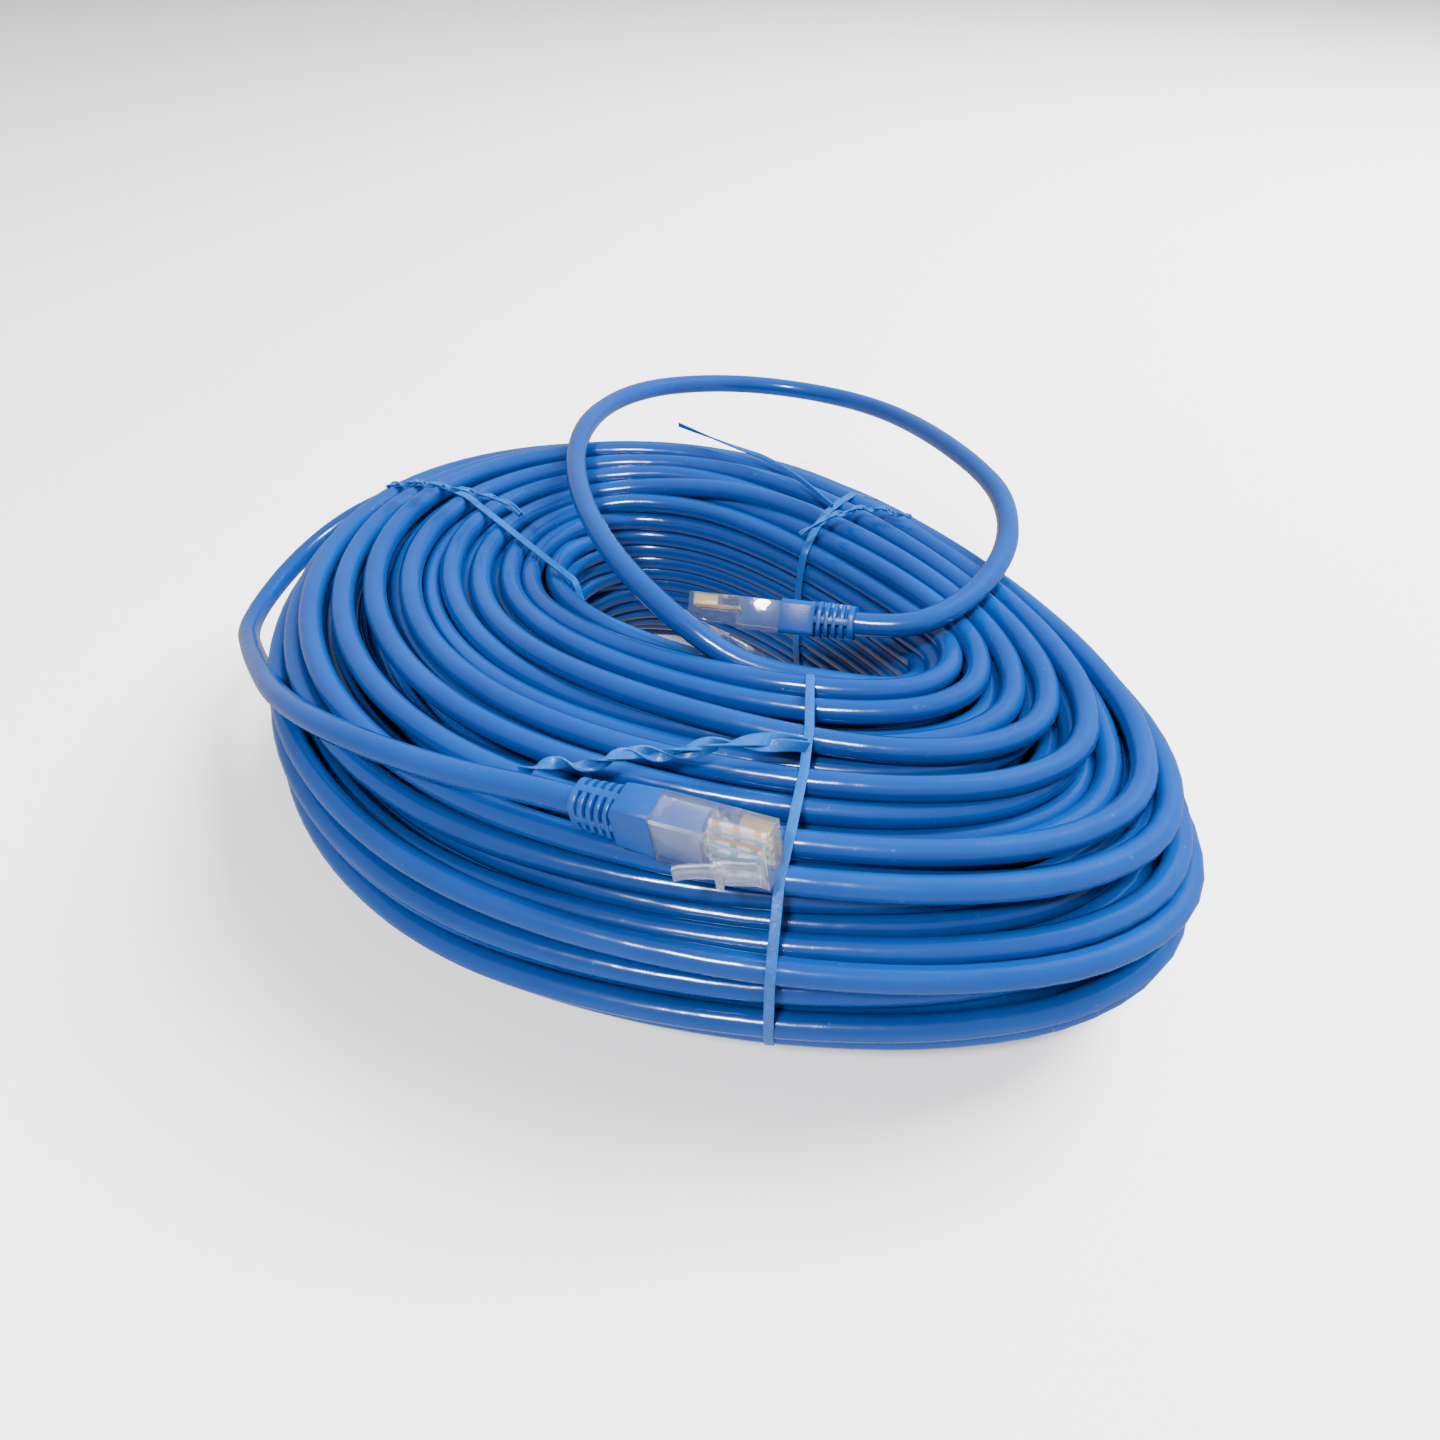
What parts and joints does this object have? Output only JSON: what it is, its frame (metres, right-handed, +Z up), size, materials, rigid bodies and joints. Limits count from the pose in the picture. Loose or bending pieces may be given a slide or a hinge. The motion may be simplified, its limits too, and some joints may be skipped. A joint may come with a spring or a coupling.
{
  "type": "ethernet patch cable",
  "caption": "Long ethernet patch cable wound into an egg-shaped coil held by wire ties, with a booted clear modular plug at each end of the cable.",
  "frame": {"origin": "middle of the whole part's box in plan, on the surface that the coil lies on", "axes": "+X along the coil's long axis towards its narrow end, +Y across it, +Z up"},
  "size_m": [0.2656, 0.2216, 0.0737],
  "materials": {
    "blue_pvc": "glossy saturated blue PVC jacket, smooth, extruded",
    "blue_boot": "moulded soft PVC boot in the same blue, slightly less glossy than the jacket",
    "tie_plastic": "blue plastic-coated flat wire tie, semi-gloss",
    "clear_polycarbonate": "clear moulded polycarbonate, glossy",
    "gold_contact": "gold-plated phosphor bronze, bright",
    "core_white_orange": "white core insulation with orange stripe",
    "core_orange": "orange core insulation",
    "core_white_green": "white core insulation with green stripe",
    "core_blue": "blue core insulation",
    "core_white_blue": "white core insulation with blue stripe",
    "core_green": "green core insulation",
    "core_white_brown": "white core insulation with brown stripe",
    "core_brown": "brown core insulation"
  },
  "bodies": {
    "cable": {"cable_coil": "blue_pvc", "cable_tail_a": "blue_pvc", "cable_tail_b": "blue_pvc", "tie_band_front": "tie_plastic", "tie_twist_front": "tie_plastic", "tie_band_left": "tie_plastic", "tie_twist_left": "tie_plastic", "tie_band_back": "tie_plastic", "tie_twist_back": "tie_plastic", "plug_housing_a": "clear_polycarbonate", "contact_blades_a": "gold_contact", "load_bar_a": "clear_polycarbonate", "crimp_wedge_a": "clear_polycarbonate", "jacket_end_a": "blue_pvc", "boot_a": "blue_boot", "wire_white_orange_a": "core_white_orange", "wire_orange_a": "core_orange", "wire_white_green_a": "core_white_green", "wire_blue_a": "core_blue", "wire_white_blue_a": "core_white_blue", "wire_green_a": "core_green", "wire_white_brown_a": "core_white_brown", "wire_brown_a": "core_brown", "plug_housing_b": "clear_polycarbonate", "contact_blades_b": "gold_contact", "load_bar_b": "clear_polycarbonate", "crimp_wedge_b": "clear_polycarbonate", "jacket_end_b": "blue_pvc", "boot_b": "blue_boot", "wire_white_orange_b": "core_white_orange", "wire_orange_b": "core_orange", "wire_white_green_b": "core_white_green", "wire_blue_b": "core_blue", "wire_white_blue_b": "core_white_blue", "wire_green_b": "core_green", "wire_white_brown_b": "core_white_brown", "wire_brown_b": "core_brown"},
    "latch_a": {"plug_latch_a": "clear_polycarbonate"},
    "latch_b": {"plug_latch_b": "clear_polycarbonate"}
  },
  "joints": [
    {"name": "latch_a_flex", "type": "hinge", "parent": "cable", "child": "latch_a", "pos_m": [0.06574, -0.08248, 0.06731], "axis": [0.0563, 0.083, -0.995], "range_deg": [0, 12], "stiffness_Nm_per_rad": 0.05},
    {"name": "latch_b_flex", "type": "hinge", "parent": "cable", "child": "latch_b", "pos_m": [0.00695, -0.02169, 0.05572], "axis": [0.2443, -0.7738, 0.5844], "range_deg": [0, 12], "stiffness_Nm_per_rad": 0.05}
  ]
}
